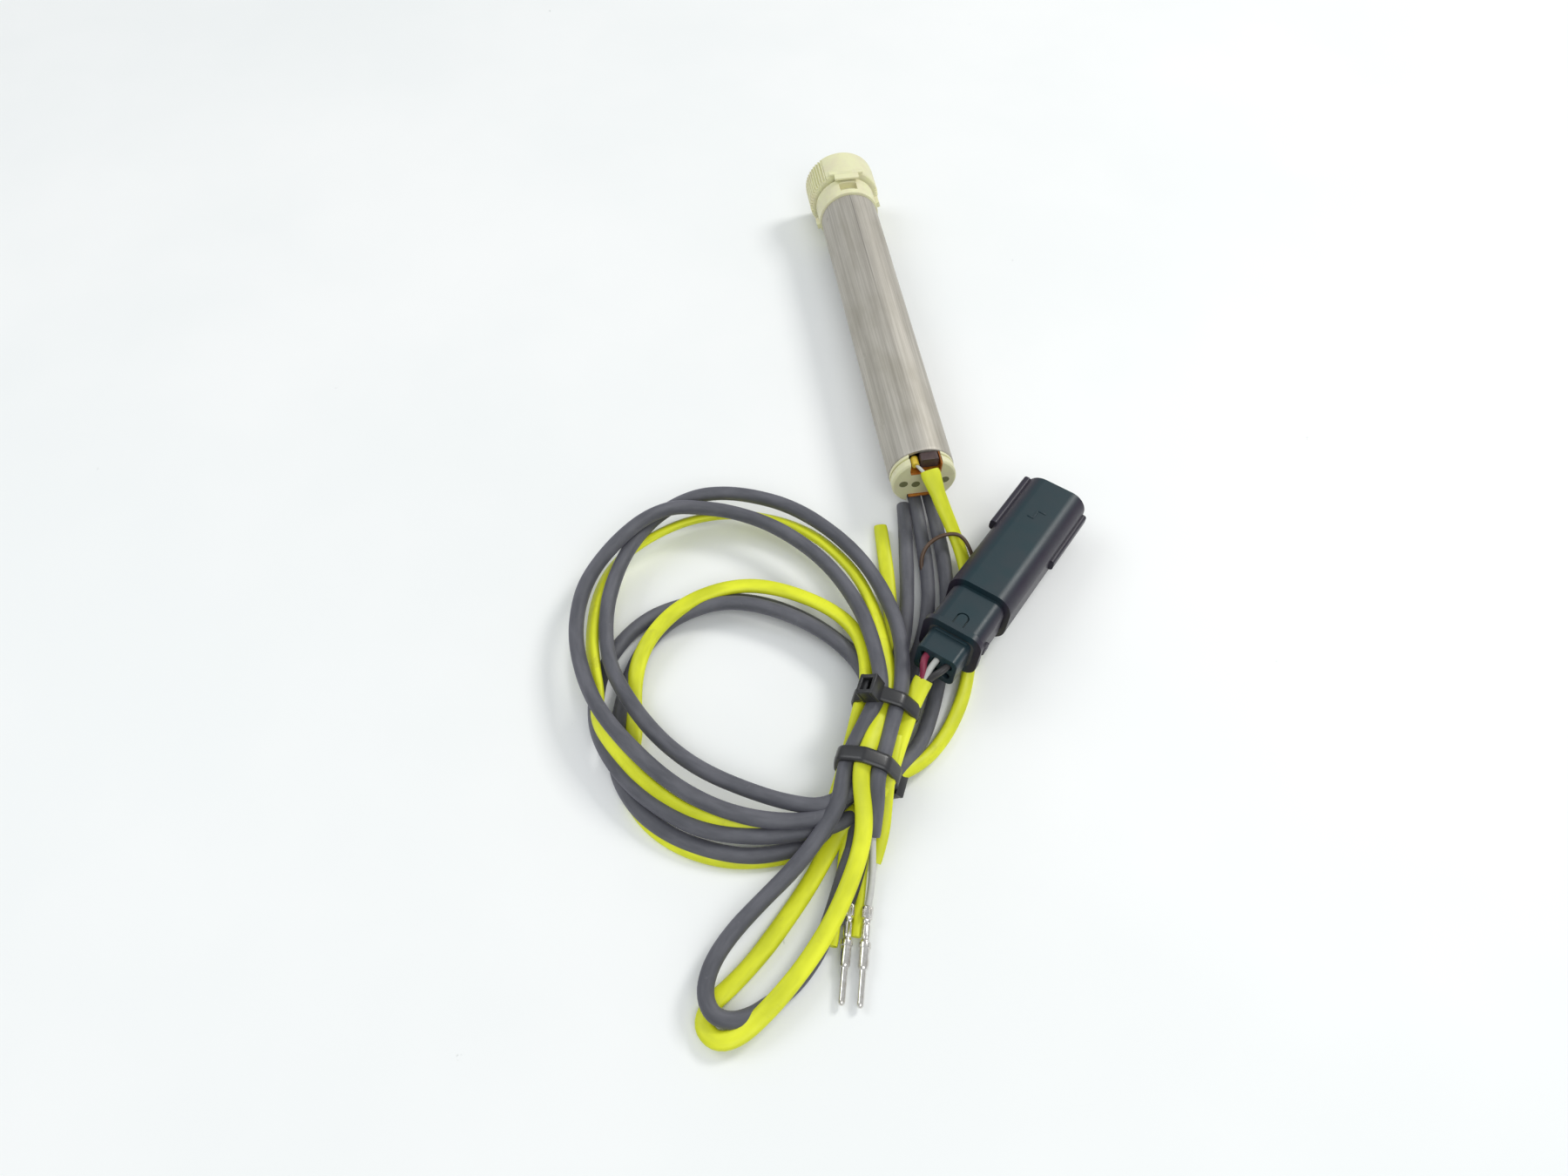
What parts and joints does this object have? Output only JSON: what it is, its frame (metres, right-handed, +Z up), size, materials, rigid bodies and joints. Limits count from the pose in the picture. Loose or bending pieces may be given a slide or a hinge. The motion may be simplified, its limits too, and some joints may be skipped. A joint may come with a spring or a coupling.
{
  "type": "throttle grip position sensor",
  "caption": "Twist-grip position sensor: steel barrel for a handlebar bore, splined turning head, sleeved harness in a tied coil, sealed plug housing and crimped contacts.",
  "frame": {"origin": "on the table under the middle of the barrel assembly's length, measured from the cap's face to the head's face", "axes": "+Y along the barrel from the lead end to the turning head, +Z up from the table the part lies on, +X completes a right-handed frame"},
  "size_m": [0.1446, 0.2735, 0.024],
  "materials": {
    "steel_tube": "brushed along the tube, satin",
    "cream_plastic": "moulded, satin",
    "plain_steel": "turned, satin",
    "dark_plastic": "moulded, satin",
    "magnet_grey": "sintered, matte",
    "bronze": "sintered, matte",
    "seal_rubber": "matte",
    "board_green": "lacquered",
    "chip_black": "matte",
    "grey_insert": "matte",
    "amber_film": "thin film, glossy",
    "amber_splice": "shrink sleeve, glossy",
    "dark_sleeve": "matte coated sleeve with a faint violet cast",
    "yellow_sleeve": "soft flat sleeve, satin",
    "white_insulation": "satin",
    "black_insulation": "satin",
    "brown_insulation": "satin",
    "red_insulation": "satin",
    "black_nylon": "glossy",
    "tinned_brass": "bright tin plate",
    "connector_black": "glossy moulding"
  },
  "bodies": {
    "sensor_and_harness": {"barrel_tube": "steel_tube", "bearing_collar": "cream_plastic", "front_bush": "bronze", "shaft_seal": "seal_rubber", "thrust_washer": "plain_steel", "bush_wall": "dark_plastic", "rear_bush": "bronze", "return_spring": "plain_steel", "board_carrier": "dark_plastic", "circuit_board": "board_green", "hall_sensors": "chip_black", "board_parts": "chip_black", "lead_cap": "cream_plastic", "lead_grommet": "grey_insert", "amber_film_top": "amber_film", "amber_film_bottom": "amber_film", "splice_tube": "amber_splice", "lead_a_feed": "dark_sleeve", "lead_b_feed": "dark_sleeve", "signal_feed": "yellow_sleeve", "dark_tail": "dark_sleeve", "yellow_tail": "yellow_sleeve", "dark_end_long": "dark_sleeve", "dark_end_short": "dark_sleeve", "yellow_end_left": "yellow_sleeve", "yellow_end_middle": "yellow_sleeve", "yellow_end_right": "yellow_sleeve", "white_contact_wire": "white_insulation", "black_contact_wire": "black_insulation", "jumper_wire": "brown_insulation", "red_wire": "red_insulation", "white_wire": "white_insulation", "black_wire": "black_insulation", "signal_rise": "yellow_sleeve", "tied_bundle": "dark_sleeve", "wide_turns": "dark_sleeve", "inner_turns": "yellow_sleeve", "hank": "dark_sleeve", "cable_tie_upper": "black_nylon", "cable_tie_lower": "black_nylon", "contact_pin_left": "tinned_brass", "contact_pin_right": "tinned_brass", "connector_housing": "connector_black", "rear_cover": "connector_black", "wire_seal": "seal_rubber", "blade_terminals": "tinned_brass"},
    "rotor": {"rotor_head": "cream_plastic", "head_plug": "cream_plastic", "rotor_shaft": "plain_steel", "retaining_clip": "plain_steel", "magnet_carrier": "dark_plastic", "ring_magnet": "magnet_grey"},
    "terminal_lock": {"terminal_lock": "dark_plastic"}
  },
  "joints": [
    {"name": "rotor_twist", "type": "hinge", "parent": "sensor_and_harness", "child": "rotor", "pos_m": [0, 0.0627, 0.0118], "axis": [0, 1, 0], "range_deg": [0, 75], "stiffness_Nm_per_rad": 0.02, "springref_deg": -17.19, "deforming": ["return_spring"]},
    {"name": "lock_slide", "type": "slide", "parent": "sensor_and_harness", "child": "terminal_lock", "axis": [0.6781, 0.7272, -0.1063], "range_m": [0, 0.0015]}
  ]
}
